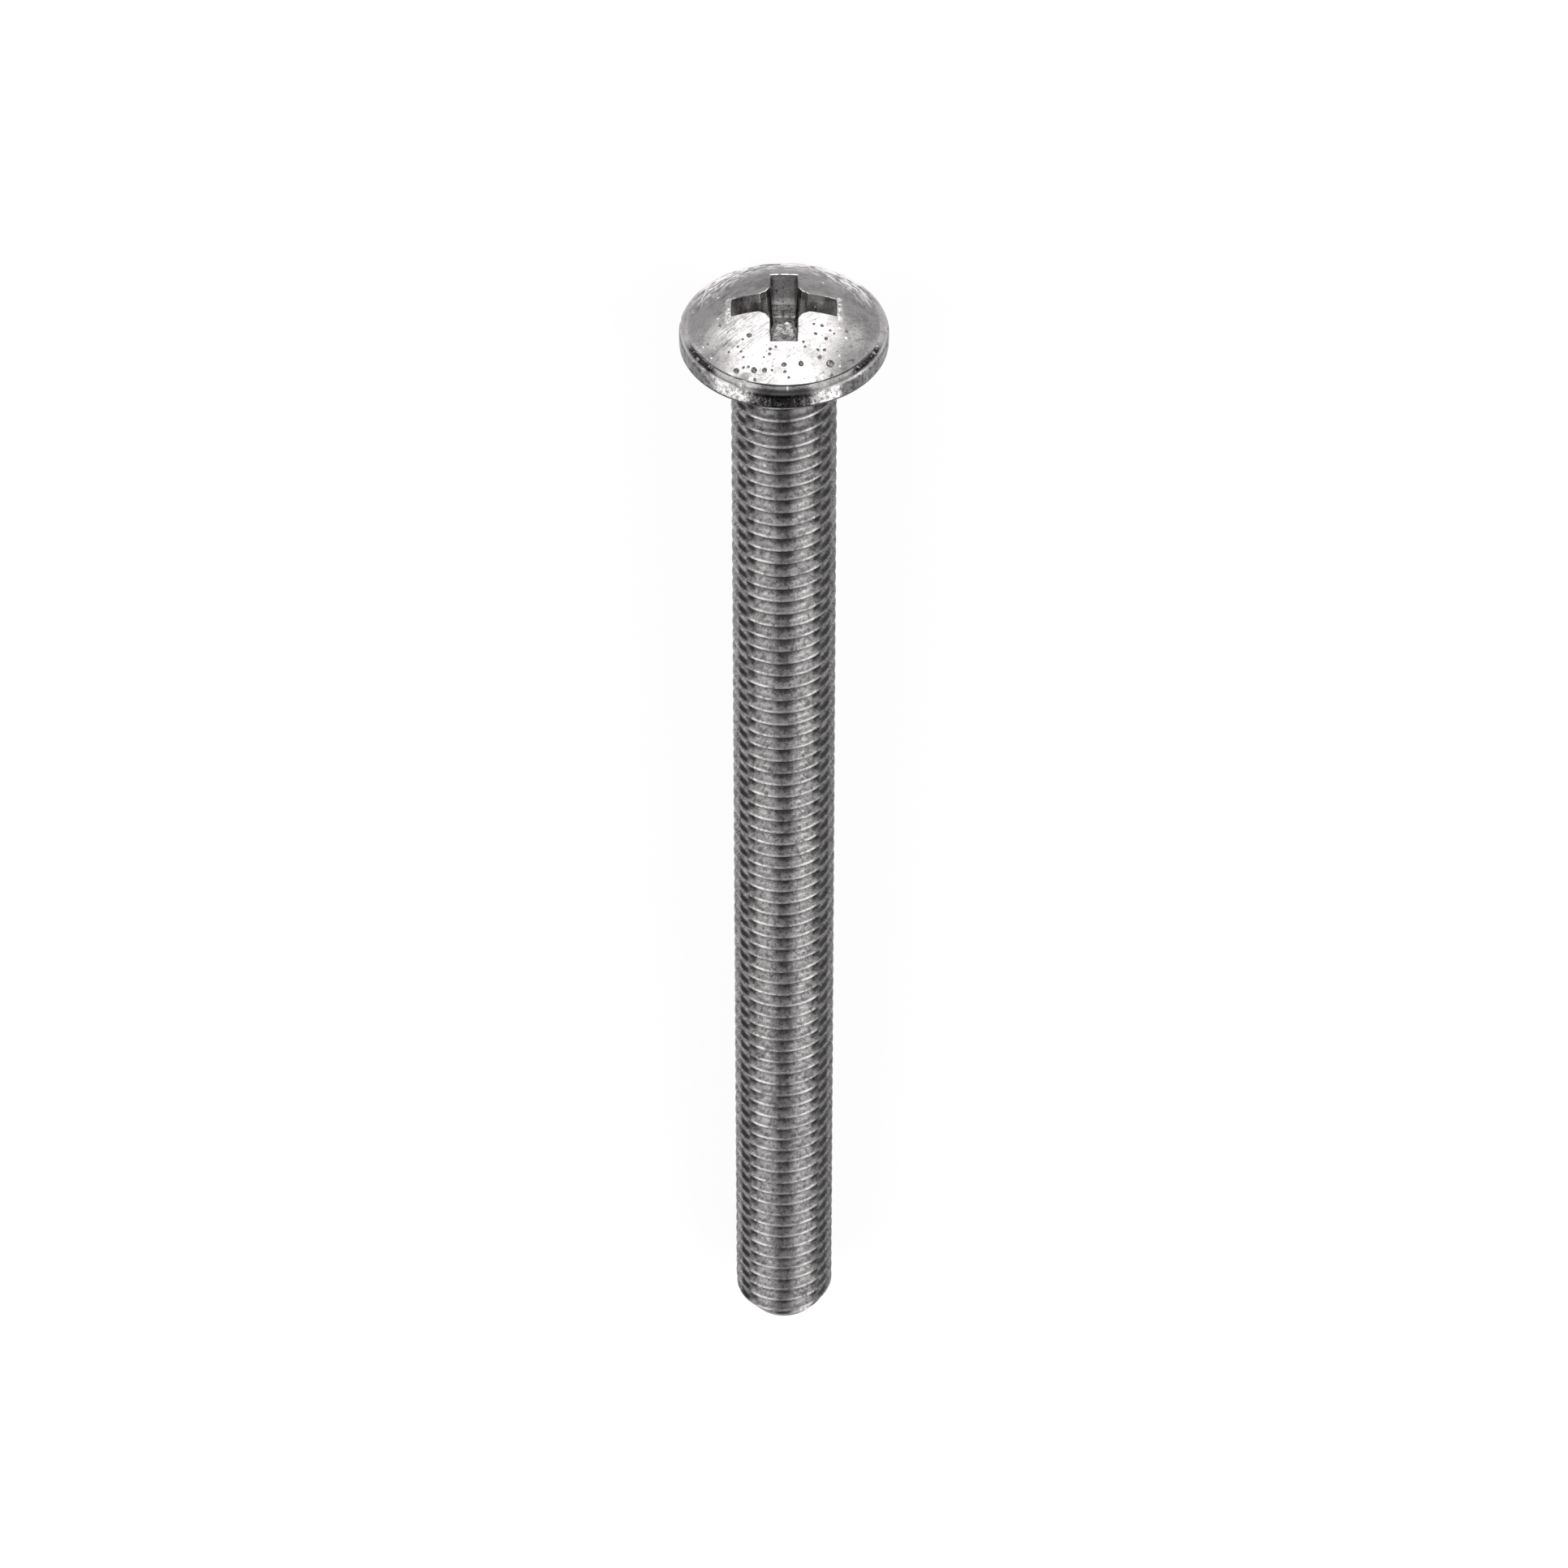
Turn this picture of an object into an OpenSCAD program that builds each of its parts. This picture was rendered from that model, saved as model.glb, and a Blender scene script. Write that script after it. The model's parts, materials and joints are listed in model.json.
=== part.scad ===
// A machine screw, fully threaded, with a low domed pan head and a cross recess.
// Millimetres. The screw is drawn along its own axis, with the head up and the bearing
// face at zero, and is then laid down the way it comes to rest: on the lower edge of its
// head and on the last crest of its thread. The origin is the centre of the bearing face.

/* [Thread] */
// Diameter over the crests
thread_d = 7.87; // [7:0.01:9]
// Distance from one crest to the next
thread_pitch = 1.25; // [1:0.25:2]
// Height of the thread, from root to crest
thread_depth = 0.767; // [0.5:0.001:0.8]
// Width of the flat on a crest
crest_flat = 0.16; // [0.1:0.01:0.2]
// Angle between the two flanks
flank_angle = 60; // [55:1:60]
// Straight steps in one turn of the thread, with a flat of every step facing down as it lies
turn_steps = 16; // [14:1:18]
// Steps that the thread is turned back about the axis, which sets where its crests fall
start_steps = 14; // [0:1:15]

/* [Shank] */
// Length from the bearing face to the tip
shank_l = 101.2; // [30:0.1:120]
// Diameter of the plain neck, as wide as the blank that the thread was rolled on
neck_d = 7.19; // [6.8:0.01:7.4]
// Length of the plain neck
neck_l = 0.9; // [0.6:0.1:3]
// Gap between the crests and the inner edge of the bearing face, which the fillet spans
bearing_gap = 0.15; // [0.1:0.01:0.3]
// Angle of the thread's run-out at the neck, from the axis
runout_angle = 45; // [30:1:60]
// Diameter of the flat end of the tip
tip_d = 5.4; // [5:0.1:6.2]
// Angle of the chamfer at the tip, from the axis
tip_angle = 35; // [30:1:50]

/* [Head] */
// Diameter over the rim
head_d = 15.45; // [14:0.05:17]
// Height from the bearing face to the top of the dome
head_h = 4; // [3.6:0.1:6]
// Radius of the domed top
dome_r = 12; // [11:0.5:16]
// Radius of the rim's lower edge
lower_edge_r = 0.22; // [0.1:0.01:0.4]
// Width of the shoulder between the domed top and the rim
shoulder_w = 0.68; // [0.5:0.01:0.9]
// Radius of the shoulder's bulge
shoulder_r = 0.62; // [0.5:0.01:0.8]
// Depth of the crease where the dome meets the shoulder
crease_depth = 0.06; // [0.02:0.01:0.1]

/* [Cross recess] */
// Diameter over the ends of the wings, where they leave the dome
recess_d = 7.8; // [6:0.1:9]
// Depth from the top of the dome to the floor at the wings
recess_depth = 3.5; // [2.5:0.1:3.6]
// Width of a wing, at the height of the dome's top
wing_w = 2.08; // [1.5:0.02:2.4]
// Taper of a wing's end, from the axis
wing_taper = 26.5; // [20:0.5:30]
// Diameter over the four corners between the wings, at the top
corner_d = 3.78; // [3.2:0.02:4.4]
// Angle between the two faces of a corner
corner_angle = 150; // [130:1:160]
// Taper of the corners, from the axis, which the sides of the wings follow
corner_taper = 7; // [4:0.5:9]
// Diameter of the cone that ends the recess
pilot_d = 2.6; // [2:0.1:3]
// Depth of that cone
pilot_depth = 0.45; // [0.2:0.05:0.6]

/* [Hidden] */
steel = [0.66, 0.65, 0.64];
curve_steps = 96;
arc_steps = 8;
// How far cutting shapes reach past what they cut
over = 0.5;
// Turns the blank's seam away from the line that it lies on
seam_turn = 3;

thread_r = thread_d / 2;
root_r = thread_r - thread_depth;
neck_r = neck_d / 2;
tip_r = tip_d / 2;
head_r = head_d / 2;
recess_r = recess_d / 2;
corner_r = corner_d / 2;

flank_w = thread_depth * tan(flank_angle / 2);
root_flat = thread_pitch - crest_flat - 2 * flank_w;
chamfer_l = (thread_r - tip_r) / tan(tip_angle);
// The crests run out on the neck a little above where the grooves do
runout_z = -0.7 * neck_l;
core_r = 0.8 * root_r;
core_end = -neck_l - 4 * thread_pitch;
neck_taper_l = (neck_r - core_r) / tan(runout_angle);

crease_r = head_r - shoulder_w;
fillet_r = thread_r + bearing_gap - neck_r;
recess_floor = head_h - recess_depth;

// The screw lies on the round lower edge of its head and on the crest at the chamfer
lean_l = shank_l - chamfer_l + lower_edge_r;
lean_h = head_r - lower_edge_r - thread_r;
lie_angle = atan(lean_h / lean_l) + asin(lower_edge_r / norm([lean_l, lean_h]));

// Height of the domed top at a distance from the axis
function dome_z(r) = head_h - dome_r + sqrt(dome_r * dome_r - r * r);

// A point turned by a number of quarter turns
function turned(p, quarter) = [
    p[0] * cos(90 * quarter) - p[1] * sin(90 * quarter), p[0] * sin(90 * quarter) + p[1] * cos(90 * quarter)
];

// Points of an arc in the plane of the profile, from one angle to another
function arc(centre, r, from, to, steps = arc_steps) = [
    for (i = [0 : steps]) let (a = from + (to - from) * i / steps)
        centre + r * [cos(a), sin(a)]
];

// The head's outline: bearing face, lower edge, rim, shoulder, crease and dome
shoulder_z = dome_z(crease_r) - crease_depth;
shoulder_turn = acos(1 - shoulder_w / shoulder_r);
rim_top = shoulder_z - shoulder_r * sin(shoulder_turn);
dome_turn = asin(crease_r / dome_r);

// The blank that the thread is rolled on: head, neck and a core inside the thread
module blank_outline() {
    polygon(concat(
        [[0, core_end], [core_r, core_end], [core_r, -neck_l - neck_taper_l], [neck_r, -neck_l]],
        arc([neck_r + fillet_r, -fillet_r], fillet_r, 180, 90),
        arc([head_r - lower_edge_r, lower_edge_r], lower_edge_r, -90, 0),
        arc([head_r - shoulder_r, rim_top], shoulder_r, 0, shoulder_turn),
        arc([0, head_h - dome_r], dome_r, 90 - dome_turn, 90, 3 * arc_steps)
    ));
}

// Size of the cross at a height, as a share of its size at the top of the dome
function side_share(z) = 1 - (head_h - z) * tan(corner_taper) / corner_r;

// Reach of the wings at a height
function wing_reach(z) = recess_r + (z - dome_z(recess_r)) * tan(wing_taper);

// A section at the top of the recess, drawn in towards the floor
module sunk(top_z, floor_scale) {
    translate([0, 0, top_z])
        mirror([0, 0, 1])
            linear_extrude(top_z - recess_floor, scale = floor_scale)
                children();
}

// One wing pair: sides that close in a little and ends that lean in more, towards the floor
module recess_wings() {
    top_z = head_h + over;
    sunk(top_z, [wing_reach(recess_floor) / wing_reach(top_z), side_share(recess_floor) / side_share(top_z)])
        square([2 * wing_reach(top_z), wing_w * side_share(top_z)], center = true);
}

// The four corners between the wings
module recess_corners() {
    side = wing_w / 2;
    apex = corner_r / sqrt(2);
    foot = apex + (apex - side) / tan(180 - corner_angle);
    sunk(head_h, side_share(recess_floor))
        polygon([for (quarter = [0 : 3]) each [
            turned([foot, side], quarter), turned([apex, apex], quarter), turned([side, foot], quarter)
        ]]);
}

module recess_pilot() {
    translate([0, 0, recess_floor - pilot_depth])
        cylinder(h = pilot_depth, r1 = 0, r2 = pilot_d / 2, $fn = curve_steps);
}

module recess() {
    recess_wings();
    rotate(90) recess_wings();
    recess_corners();
    recess_pilot();
}

module blank() {
    difference() {
        rotate(seam_turn) rotate_extrude($fn = curve_steps) blank_outline();
        recess();
    }
}

// The thread's helix, as a solid with its core. Each step has a root flat and a crest flat.
turns = ceil((shank_l + 2 * over) / thread_pitch) + 2;
rib = [[root_r, 0], [root_r, root_flat], [thread_r, root_flat + flank_w],
       [thread_r, root_flat + flank_w + crest_flat]];
function rib_point(step, k) = let (a = 90 + 360 * (step + 0.5 - start_steps) / turn_steps)
    [rib[k][0] * cos(a), rib[k][0] * sin(a), rib[k][1] + thread_pitch * step / turn_steps];

module helix() {
    last = turns * turn_steps;
    n = len(rib);
    points = concat(
        [for (s = [0 : last], k = [0 : n - 1]) rib_point(s, k)],
        [[0, 0, 0], [0, 0, (turns + 1) * thread_pitch]]
    );
    foot = len(points) - 2;
    top = len(points) - 1;
    // The last point of a step joins the first point of the step one turn further up
    function at(s, k) = k < n ? s * n + k : (s + turn_steps) * n;
    sides = [for (s = [0 : last - turn_steps - 1], k = [0 : n - 1])
        each [[at(s, k), at(s + 1, k + 1), at(s + 1, k)], [at(s, k), at(s, k + 1), at(s + 1, k + 1)]]];
    first_turn = [for (s = [0 : turn_steps - 1]) [at(s, 0), at(s + 1, 0), foot]];
    first_step = [for (k = [0 : n - 1]) [at(0, k + 1), at(0, k), foot]];
    end = last - turn_steps;
    last_turn = [for (s = [end : last - 1]) [at(s + 1, 0), at(s, 0), top]];
    last_step = [for (k = [0 : n - 1]) [at(end, k), at(end, k + 1), top]];
    polyhedron(points, concat(sides, first_turn, first_step, last_turn, last_step));
}

// The space that the thread fills: a chamfer at the tip and a run-out at the neck
module thread_envelope() {
    reach_r = thread_r + over;
    top_z = runout_z + (neck_r - root_r) / tan(runout_angle);
    rotate_extrude($fn = curve_steps) polygon([
        [0, -shank_l], [tip_r, -shank_l], [reach_r, -shank_l + (reach_r - tip_r) / tan(tip_angle)],
        [reach_r, top_z - (reach_r - root_r) / tan(runout_angle)], [root_r, top_z], [0, top_z]
    ]);
}

module thread() {
    intersection() {
        translate([0, 0, -shank_l - over - thread_pitch]) helix();
        thread_envelope();
    }
}

module machine_screw() {
    color(steel)
        rotate([lie_angle - 90, 0, 0]) {
            blank();
            thread();
        }
}

machine_screw();
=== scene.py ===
"""A plated machine screw lying on a pale floor, seen from above its head.

The mesh is drawn along the screw's own axis in millimetres, with the head up and the bearing
face at zero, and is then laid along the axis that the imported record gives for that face.
"""
import json
import math
import random
import bmesh
import bpy
from mathutils import Matrix, Vector, noise


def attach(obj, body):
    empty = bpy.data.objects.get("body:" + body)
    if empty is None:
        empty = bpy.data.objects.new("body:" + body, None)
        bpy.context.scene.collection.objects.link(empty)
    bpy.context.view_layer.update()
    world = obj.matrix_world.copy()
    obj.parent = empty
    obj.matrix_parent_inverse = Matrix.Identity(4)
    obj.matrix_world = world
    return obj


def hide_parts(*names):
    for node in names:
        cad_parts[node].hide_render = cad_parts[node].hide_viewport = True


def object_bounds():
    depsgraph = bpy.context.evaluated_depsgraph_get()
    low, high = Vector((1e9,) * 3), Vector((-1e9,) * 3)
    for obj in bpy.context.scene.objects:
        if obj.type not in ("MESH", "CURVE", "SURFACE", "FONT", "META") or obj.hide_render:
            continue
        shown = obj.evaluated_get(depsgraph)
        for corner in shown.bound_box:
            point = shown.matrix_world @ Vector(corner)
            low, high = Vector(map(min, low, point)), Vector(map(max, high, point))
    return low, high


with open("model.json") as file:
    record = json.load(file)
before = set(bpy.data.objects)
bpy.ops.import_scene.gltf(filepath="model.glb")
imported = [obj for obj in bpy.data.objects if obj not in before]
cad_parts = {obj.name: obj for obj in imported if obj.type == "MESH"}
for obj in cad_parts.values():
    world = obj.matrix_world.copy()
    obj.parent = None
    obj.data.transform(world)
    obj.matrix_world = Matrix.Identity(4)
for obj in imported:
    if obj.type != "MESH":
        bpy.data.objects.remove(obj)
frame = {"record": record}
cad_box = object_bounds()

MM = 0.001
MOUNTS = {mount["name"]: mount for mount in frame["record"]["mounts"]}

# Thread, in millimetres
THREAD_R = MOUNTS["thread"]["dims"]["r_mm"]
PITCH = 1.25
THREAD_DEPTH = 0.767
CREST_FLAT = 0.16
CREST_SEAM = 0.018
FLANK_W = THREAD_DEPTH * math.tan(math.radians(30))
ROOT_R = THREAD_R - THREAD_DEPTH
CREST_START = 0.707
TURN_STEPS = 84

# Shank
LENGTH = 101.2
TIP_R = 2.7
TIP_SLOPE = math.tan(math.radians(35))
NECK_R = 3.595
NECK_L = 0.9
RUNOUT_Z = -0.7 * NECK_L
FILLET_R = THREAD_R + 0.15 - NECK_R

# Head
HEAD_R = 7.725
HEAD_H = 4.0
DOME_R = 12.0
LOWER_EDGE_R = 0.22
SHOULDER_W = 0.68
SHOULDER_R = 0.62
CREASE_DEPTH = 0.06
CREASE_R = HEAD_R - SHOULDER_W
HEAD_STEPS = 3 * TURN_STEPS

# Cross recess
RECESS_R = MOUNTS["cross_recess"]["dims"]["r_mm"]
RECESS_DEPTH = MOUNTS["cross_recess"]["dims"]["length_mm"]
RECESS_FLOOR = HEAD_H - RECESS_DEPTH
WING_W = 2.08
WING_SLOPE = math.tan(math.radians(26.5))
CORNER_R = 1.89
CORNER_SLOPE = math.tan(math.radians(30))
SIDE_SLOPE = math.tan(math.radians(7)) / CORNER_R
PILOT_R = 1.3
PILOT_DEPTH = 0.45
EDGE_BREAK = 0.06

# Camera, as read from the photograph
PHOTO_SIZE = 1932
VIEW_ELEVATION = math.radians(42.5)
VIEW_DISTANCE = 558.0
AIM_Z = -44.0
SENSOR_MM = 36.0
LENS_MM = 165.0


def lying_matrix():
    """From the screw's own axes in millimetres to the frame of the model in metres."""
    mount = MOUNTS["bearing_face"]
    up = -Vector(mount["axis"]).normalized()
    across = Vector((1, 0, 0))
    back = up.cross(across).normalized()
    turn = Matrix((across, back, up)).transposed().to_4x4()
    return Matrix.Translation(Vector(mount["pos_m"])) @ turn @ Matrix.Scale(MM, 4)


LYING = lying_matrix()


def dome_z(r):
    return HEAD_H - DOME_R + math.sqrt(DOME_R**2 - r**2)


def camera_axes():
    """The camera's place and axes in the screw's own frame."""
    away = Vector((0, -math.cos(VIEW_ELEVATION), math.sin(VIEW_ELEVATION)))
    up = Vector((0, math.sin(VIEW_ELEVATION), math.cos(VIEW_ELEVATION)))
    right = up.cross(away)
    place = Vector((0, 0, AIM_Z)) + away * VIEW_DISTANCE
    return place, right, up, away


def make_camera():
    place, right, up, away = camera_axes()
    data = bpy.data.cameras.new("camera")
    data.sensor_width = SENSOR_MM
    data.lens = LENS_MM
    camera = bpy.data.objects.new("camera", data)
    turn = (LYING.to_3x3() * (1 / MM)) @ Matrix((right, up, away)).transposed()
    camera.matrix_world = Matrix.Translation(LYING @ place) @ turn.to_4x4()
    bpy.context.collection.objects.link(camera)
    bpy.context.scene.camera = camera


def photo_ray(px, py):
    """The ray through a pixel of the photograph, in the screw's own frame."""
    place, right, up, away = camera_axes()
    scale = SENSOR_MM / PHOTO_SIZE / LENS_MM
    aim = right * ((px - PHOTO_SIZE / 2) * scale) - up * ((py - PHOTO_SIZE / 2) * scale) - away
    return place, aim.normalized()


def on_dome(px, py):
    """The point of the domed top under a pixel of the photograph."""
    start, aim = photo_ray(px, py)
    centre = Vector((0, 0, HEAD_H - DOME_R))
    b = aim.dot(start - centre)
    c = (start - centre).length_squared - DOME_R**2
    return start + aim * (-b - math.sqrt(b * b - c))


def arc(centre_r, centre_z, radius, start, end, steps):
    """Points of an arc as (r, z), between two angles in degrees."""
    points = []
    for i in range(steps + 1):
        a = math.radians(start + (end - start) * i / steps)
        points.append((centre_r + radius * math.cos(a), centre_z + radius * math.sin(a)))
    return points


def ring(mesh, r, z, steps):
    """A level ring of vertices."""
    turn = 2 * math.pi / steps
    return [mesh.verts.new((r * math.cos(turn * j), r * math.sin(turn * j), z)) for j in range(steps)]


def join_rings(mesh, low, high):
    """Faces between two rings. The upper one has as many vertices as the lower, or a multiple."""
    share = len(high) // len(low)
    for j in range(len(low)):
        k = (j + 1) % len(low)
        part = [high[(share * j + i) % len(high)] for i in range(share + 1)]
        if share == 1:
            mesh.faces.new((low[j], low[k], part[1], part[0]))
            continue
        middle = share // 2
        for i in range(middle):
            mesh.faces.new((low[j], part[i + 1], part[i]))
        mesh.faces.new((low[j], low[k], part[middle]))
        for i in range(middle, share):
            mesh.faces.new((low[k], part[i + 1], part[i]))


def fan(mesh, edge, tip):
    for j in range(len(edge)):
        mesh.faces.new((edge[j], edge[(j + 1) % len(edge)], tip))


def to_object(mesh, name):
    bmesh.ops.recalc_face_normals(mesh, faces=mesh.faces)
    data = bpy.data.meshes.new(name)
    mesh.to_mesh(data)
    mesh.free()
    thing = bpy.data.objects.new(name, data)
    bpy.context.collection.objects.link(thing)
    return thing


def head_profile():
    """The head's outline as (r, z), from the neck over the rim to the top of the dome."""
    shoulder_turn = math.degrees(math.acos(1 - SHOULDER_W / SHOULDER_R))
    rim_top = dome_z(CREASE_R) - CREASE_DEPTH - SHOULDER_R * math.sin(math.radians(shoulder_turn))
    inner = NECK_R + FILLET_R
    outer = HEAD_R - LOWER_EDGE_R
    under_rows, rim_rows, dome_gap = 6, 9, 0.14
    points = arc(inner, -FILLET_R, FILLET_R, 180, 90, 6)[1:]
    points += [(inner + (outer - inner) * i / under_rows, 0.0) for i in range(1, under_rows)]
    points += arc(outer, LOWER_EDGE_R, LOWER_EDGE_R, -90, 0, 5)
    for i in range(1, rim_rows):
        points.append((HEAD_R, LOWER_EDGE_R + (rim_top - LOWER_EDGE_R) * i / rim_rows))
    points += arc(HEAD_R - SHOULDER_R, rim_top, SHOULDER_R, 0, shoulder_turn, 9)
    rows = round(CREASE_R / dome_gap)
    for i in range(rows, 0, -1):
        r = CREASE_R * i / rows
        points.append((r, dome_z(r)))
    return points


def head_blank():
    """The head as a closed solid, which ends in a flat face at the foot of its fillet."""
    mesh = bmesh.new()
    foot = ring(mesh, NECK_R, -FILLET_R, TURN_STEPS)
    mesh.faces.new(reversed(foot))
    below = foot
    for r, z in head_profile():
        above = ring(mesh, r, z, HEAD_STEPS)
        join_rings(mesh, below, above)
        below = above
    fan(mesh, below, mesh.verts.new((0, 0, HEAD_H)))
    return to_object(mesh, "head")


def cross_outline():
    """The corners of the cross as (kind, point), once round."""
    side = WING_W / 2
    apex = CORNER_R / math.sqrt(2)
    foot = apex + (apex - side) / CORNER_SLOPE
    quarter = [
        ("wing", Vector((RECESS_R, -side))),
        ("wing", Vector((RECESS_R, side))),
        ("corner", Vector((foot, side))),
        ("corner", Vector((apex, apex))),
        ("corner", Vector((side, foot))),
    ]
    turns = [Matrix.Rotation(math.pi / 2 * q, 2) for q in range(4)]
    return [(kind, turn @ point) for turn in turns for kind, point in quarter]


def cross_section(z, grow):
    """The cross at a height, grown outward by an edge break."""
    share = 1 - (HEAD_H - z) * SIDE_SLOPE
    reach = RECESS_R + (z - dome_z(RECESS_R)) * WING_SLOPE
    section = []
    for kind, point in cross_outline():
        if kind == "corner":
            section.append(point * (share + grow / point.length))
            continue
        side = WING_W / 2 * share + grow
        along_x = abs(point.x) > abs(point.y)
        pair = (reach + grow, side) if along_x else (side, reach + grow)
        section.append(Vector((math.copysign(pair[0], point.x), math.copysign(pair[1], point.y))))
    return section


PER_EDGE = 6


def recess_level(mesh, depth, grow):
    """A ring of the recess at a depth below the dome."""
    level = []
    corners = len(cross_outline())
    for i in range(corners):
        for j in range(PER_EDGE):
            z = dome_z(RECESS_R) - depth
            # The height depends on the reach and the reach on the height, so both close in together
            for attempt in range(4):
                outline = cross_section(z, grow)
                p = outline[i].lerp(outline[(i + 1) % corners], j / PER_EDGE)
                z = dome_z(p.length) - depth
            level.append(mesh.verts.new((p.x, p.y, z)))
    return level


def recess_foot(mesh):
    """The ring where the sides of the recess meet its floor."""
    outline = cross_section(RECESS_FLOOR, 0.0)
    level = []
    for i in range(len(outline)):
        for j in range(PER_EDGE):
            p = outline[i].lerp(outline[(i + 1) % len(outline)], j / PER_EDGE)
            level.append(mesh.verts.new((p.x, p.y, RECESS_FLOOR)))
    return level


def recess_cutter(mesh):
    """The recess as a closed solid, with broken edges that follow the dome and a cone below."""
    above = 0.4
    levels = [
        recess_level(mesh, -above, EDGE_BREAK + above),
        recess_level(mesh, 0.0, EDGE_BREAK),
        recess_level(mesh, EDGE_BREAK, 0.0),
        recess_foot(mesh),
    ]
    for high, low in zip(levels, levels[1:]):
        join_rings(mesh, low, high)
    # The broken edges that face the front are rubbed bright
    mesh.faces.ensure_lookup_table()
    first = len(levels[0])
    for face in mesh.faces[first:2 * first]:
        x, y, z = face.calc_center_median()
        if (y > 3.0 and abs(x) < 0.97) or (y > 0.6 and abs(x) > 1.2):
            face.material_index = 2
    fan(mesh, levels[0], mesh.verts.new((0, 0, HEAD_H + above)))
    floor = levels[-1]
    pilot = ring(mesh, PILOT_R, RECESS_FLOOR, 48)
    fan(mesh, pilot, mesh.verts.new((0, 0, RECESS_FLOOR - PILOT_DEPTH)))
    edges = []
    for loop in (floor, pilot):
        for j in range(len(loop)):
            pair = (loop[j], loop[(j + 1) % len(loop)])
            edges.append(mesh.edges.get(pair) or mesh.edges.new(pair))
    bmesh.ops.triangle_fill(mesh, use_beauty=True, use_dissolve=False, edges=edges)


# Pits on the domed top: a pixel of the photograph and a radius in millimetres
DOME_PITS = [
    (1023, 448, 0.33), (987, 448, 0.24), (966, 449, 0.22), (929, 456, 0.26), (942, 456, 0.21),
    (907, 457, 0.24), (972, 465, 0.12), (967, 458, 0.13), (930, 468, 0.15), (923, 413, 0.22),
    (1018, 417, 0.16), (1005, 411, 0.15), (1013, 401, 0.16), (1043, 408, 0.15), (956, 427, 0.11),
    (949, 430, 0.14), (948, 436, 0.14), (1049, 427, 0.12), (1010, 440, 0.17), (1008, 431, 0.14),
    (1016, 431, 0.14), (909, 427, 0.12), (913, 433, 0.12), (916, 453, 0.12), (922, 452, 0.13),
    (1031, 453, 0.14), (1052, 445, 0.14), (1023, 407, 0.12), (1028, 411, 0.1), (1003, 399, 0.12),
    (992, 427, 0.12), (951, 456, 0.1), (1025, 463, 0.16), (915, 418, 0.11), (941, 440, 0.1),
    (898, 434, 0.1), (916, 440, 0.11), (990, 421, 0.13), (887, 401, 0.12), (872, 424, 0.11),
]


# Long fine scratches on the domed top, from one pixel of the photograph to another
DOME_SCRATCHES = [
    ((926, 470), (978, 436)), ((1003, 466), (1040, 446)), ((880, 446), (912, 424)), ((1030, 434), (1050, 424)),
    ((1052, 402), (1090, 402)), ((1040, 408), (1086, 409)), ((938, 448), (962, 440)), ((894, 410), (930, 396)),
]


def sink_ball(mesh, taken, spot, along, length, width, depth):
    """A flattened ball that cuts a hollow of this length, width and depth, where the dome is free."""
    if any((spot - other).length < 0.6 * (length + reach) for other, reach in taken):
        return
    taken.append((spot, length))
    out = (spot - Vector((0, 0, HEAD_H - DOME_R))).normalized()
    across = out.cross(along).normalized()
    turn = Matrix((across.cross(out), across, out)).transposed().to_4x4()
    # The ball's middle stands above the dome, so the hollow is shallow with a crisp rim
    lift = depth * 0.8
    widen = 1 / math.sqrt(1 - (lift / (depth + lift))**2)
    size = Matrix.Diagonal((length / 2 * widen, width / 2 * widen, depth + lift, 1))
    matrix = Matrix.Translation(spot + out * lift) @ turn @ size
    bmesh.ops.create_icosphere(mesh, subdivisions=2, radius=1.0, matrix=matrix)


def wear_cutters(mesh):
    """A hollow for each pit, and a row of short ones along each scratch."""
    rng = random.Random(7)
    taken = []
    for px, py, radius in DOME_PITS:
        along = Vector((rng.uniform(-1, 1), rng.uniform(-1, 1), 0))
        width = 2 * radius * rng.uniform(0.85, 1.0)
        sink_ball(mesh, taken, on_dome(px, py), along, 2 * radius, width, radius * rng.uniform(0.5, 0.7))
    for start, end in DOME_SCRATCHES:
        begin, finish = on_dome(*start), on_dome(*end)
        reach = (finish - begin).length
        done = 0.0
        while done < reach:
            length = rng.uniform(0.2, 0.5)
            middle = begin.lerp(finish, (done + length / 2) / reach)
            spot = Vector((middle.x, middle.y, dome_z(middle.xy.length)))
            sink_ball(mesh, taken, spot, finish - begin, length, rng.uniform(0.04, 0.07), 0.02)
            done += length * 1.25 + rng.uniform(0.02, 0.2)


def cut_head(head):
    """Cuts the recess and the pits out of the head. The pits get the second material."""
    mesh = bmesh.new()
    recess_cutter(mesh)
    in_recess = len(mesh.faces)
    wear_cutters(mesh)
    mesh.faces.ensure_lookup_table()
    for face in mesh.faces[in_recess:]:
        face.material_index = 1
    cutter = to_object(mesh, "cutter")
    for thing in (head, cutter):
        for name in ("steel", "pits_and_root_shade", "rubbed"):
            thing.data.materials.append(bpy.data.materials.get(name) or bpy.data.materials.new(name))
    step = head.modifiers.new("cut", "BOOLEAN")
    step.operation = "DIFFERENCE"
    step.solver = "EXACT"
    step.object = cutter
    graph = bpy.context.evaluated_depsgraph_get()
    data = bpy.data.meshes.new_from_object(head.evaluated_get(graph))
    bpy.data.objects.remove(cutter)
    bpy.data.objects.remove(head)
    return data


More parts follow.
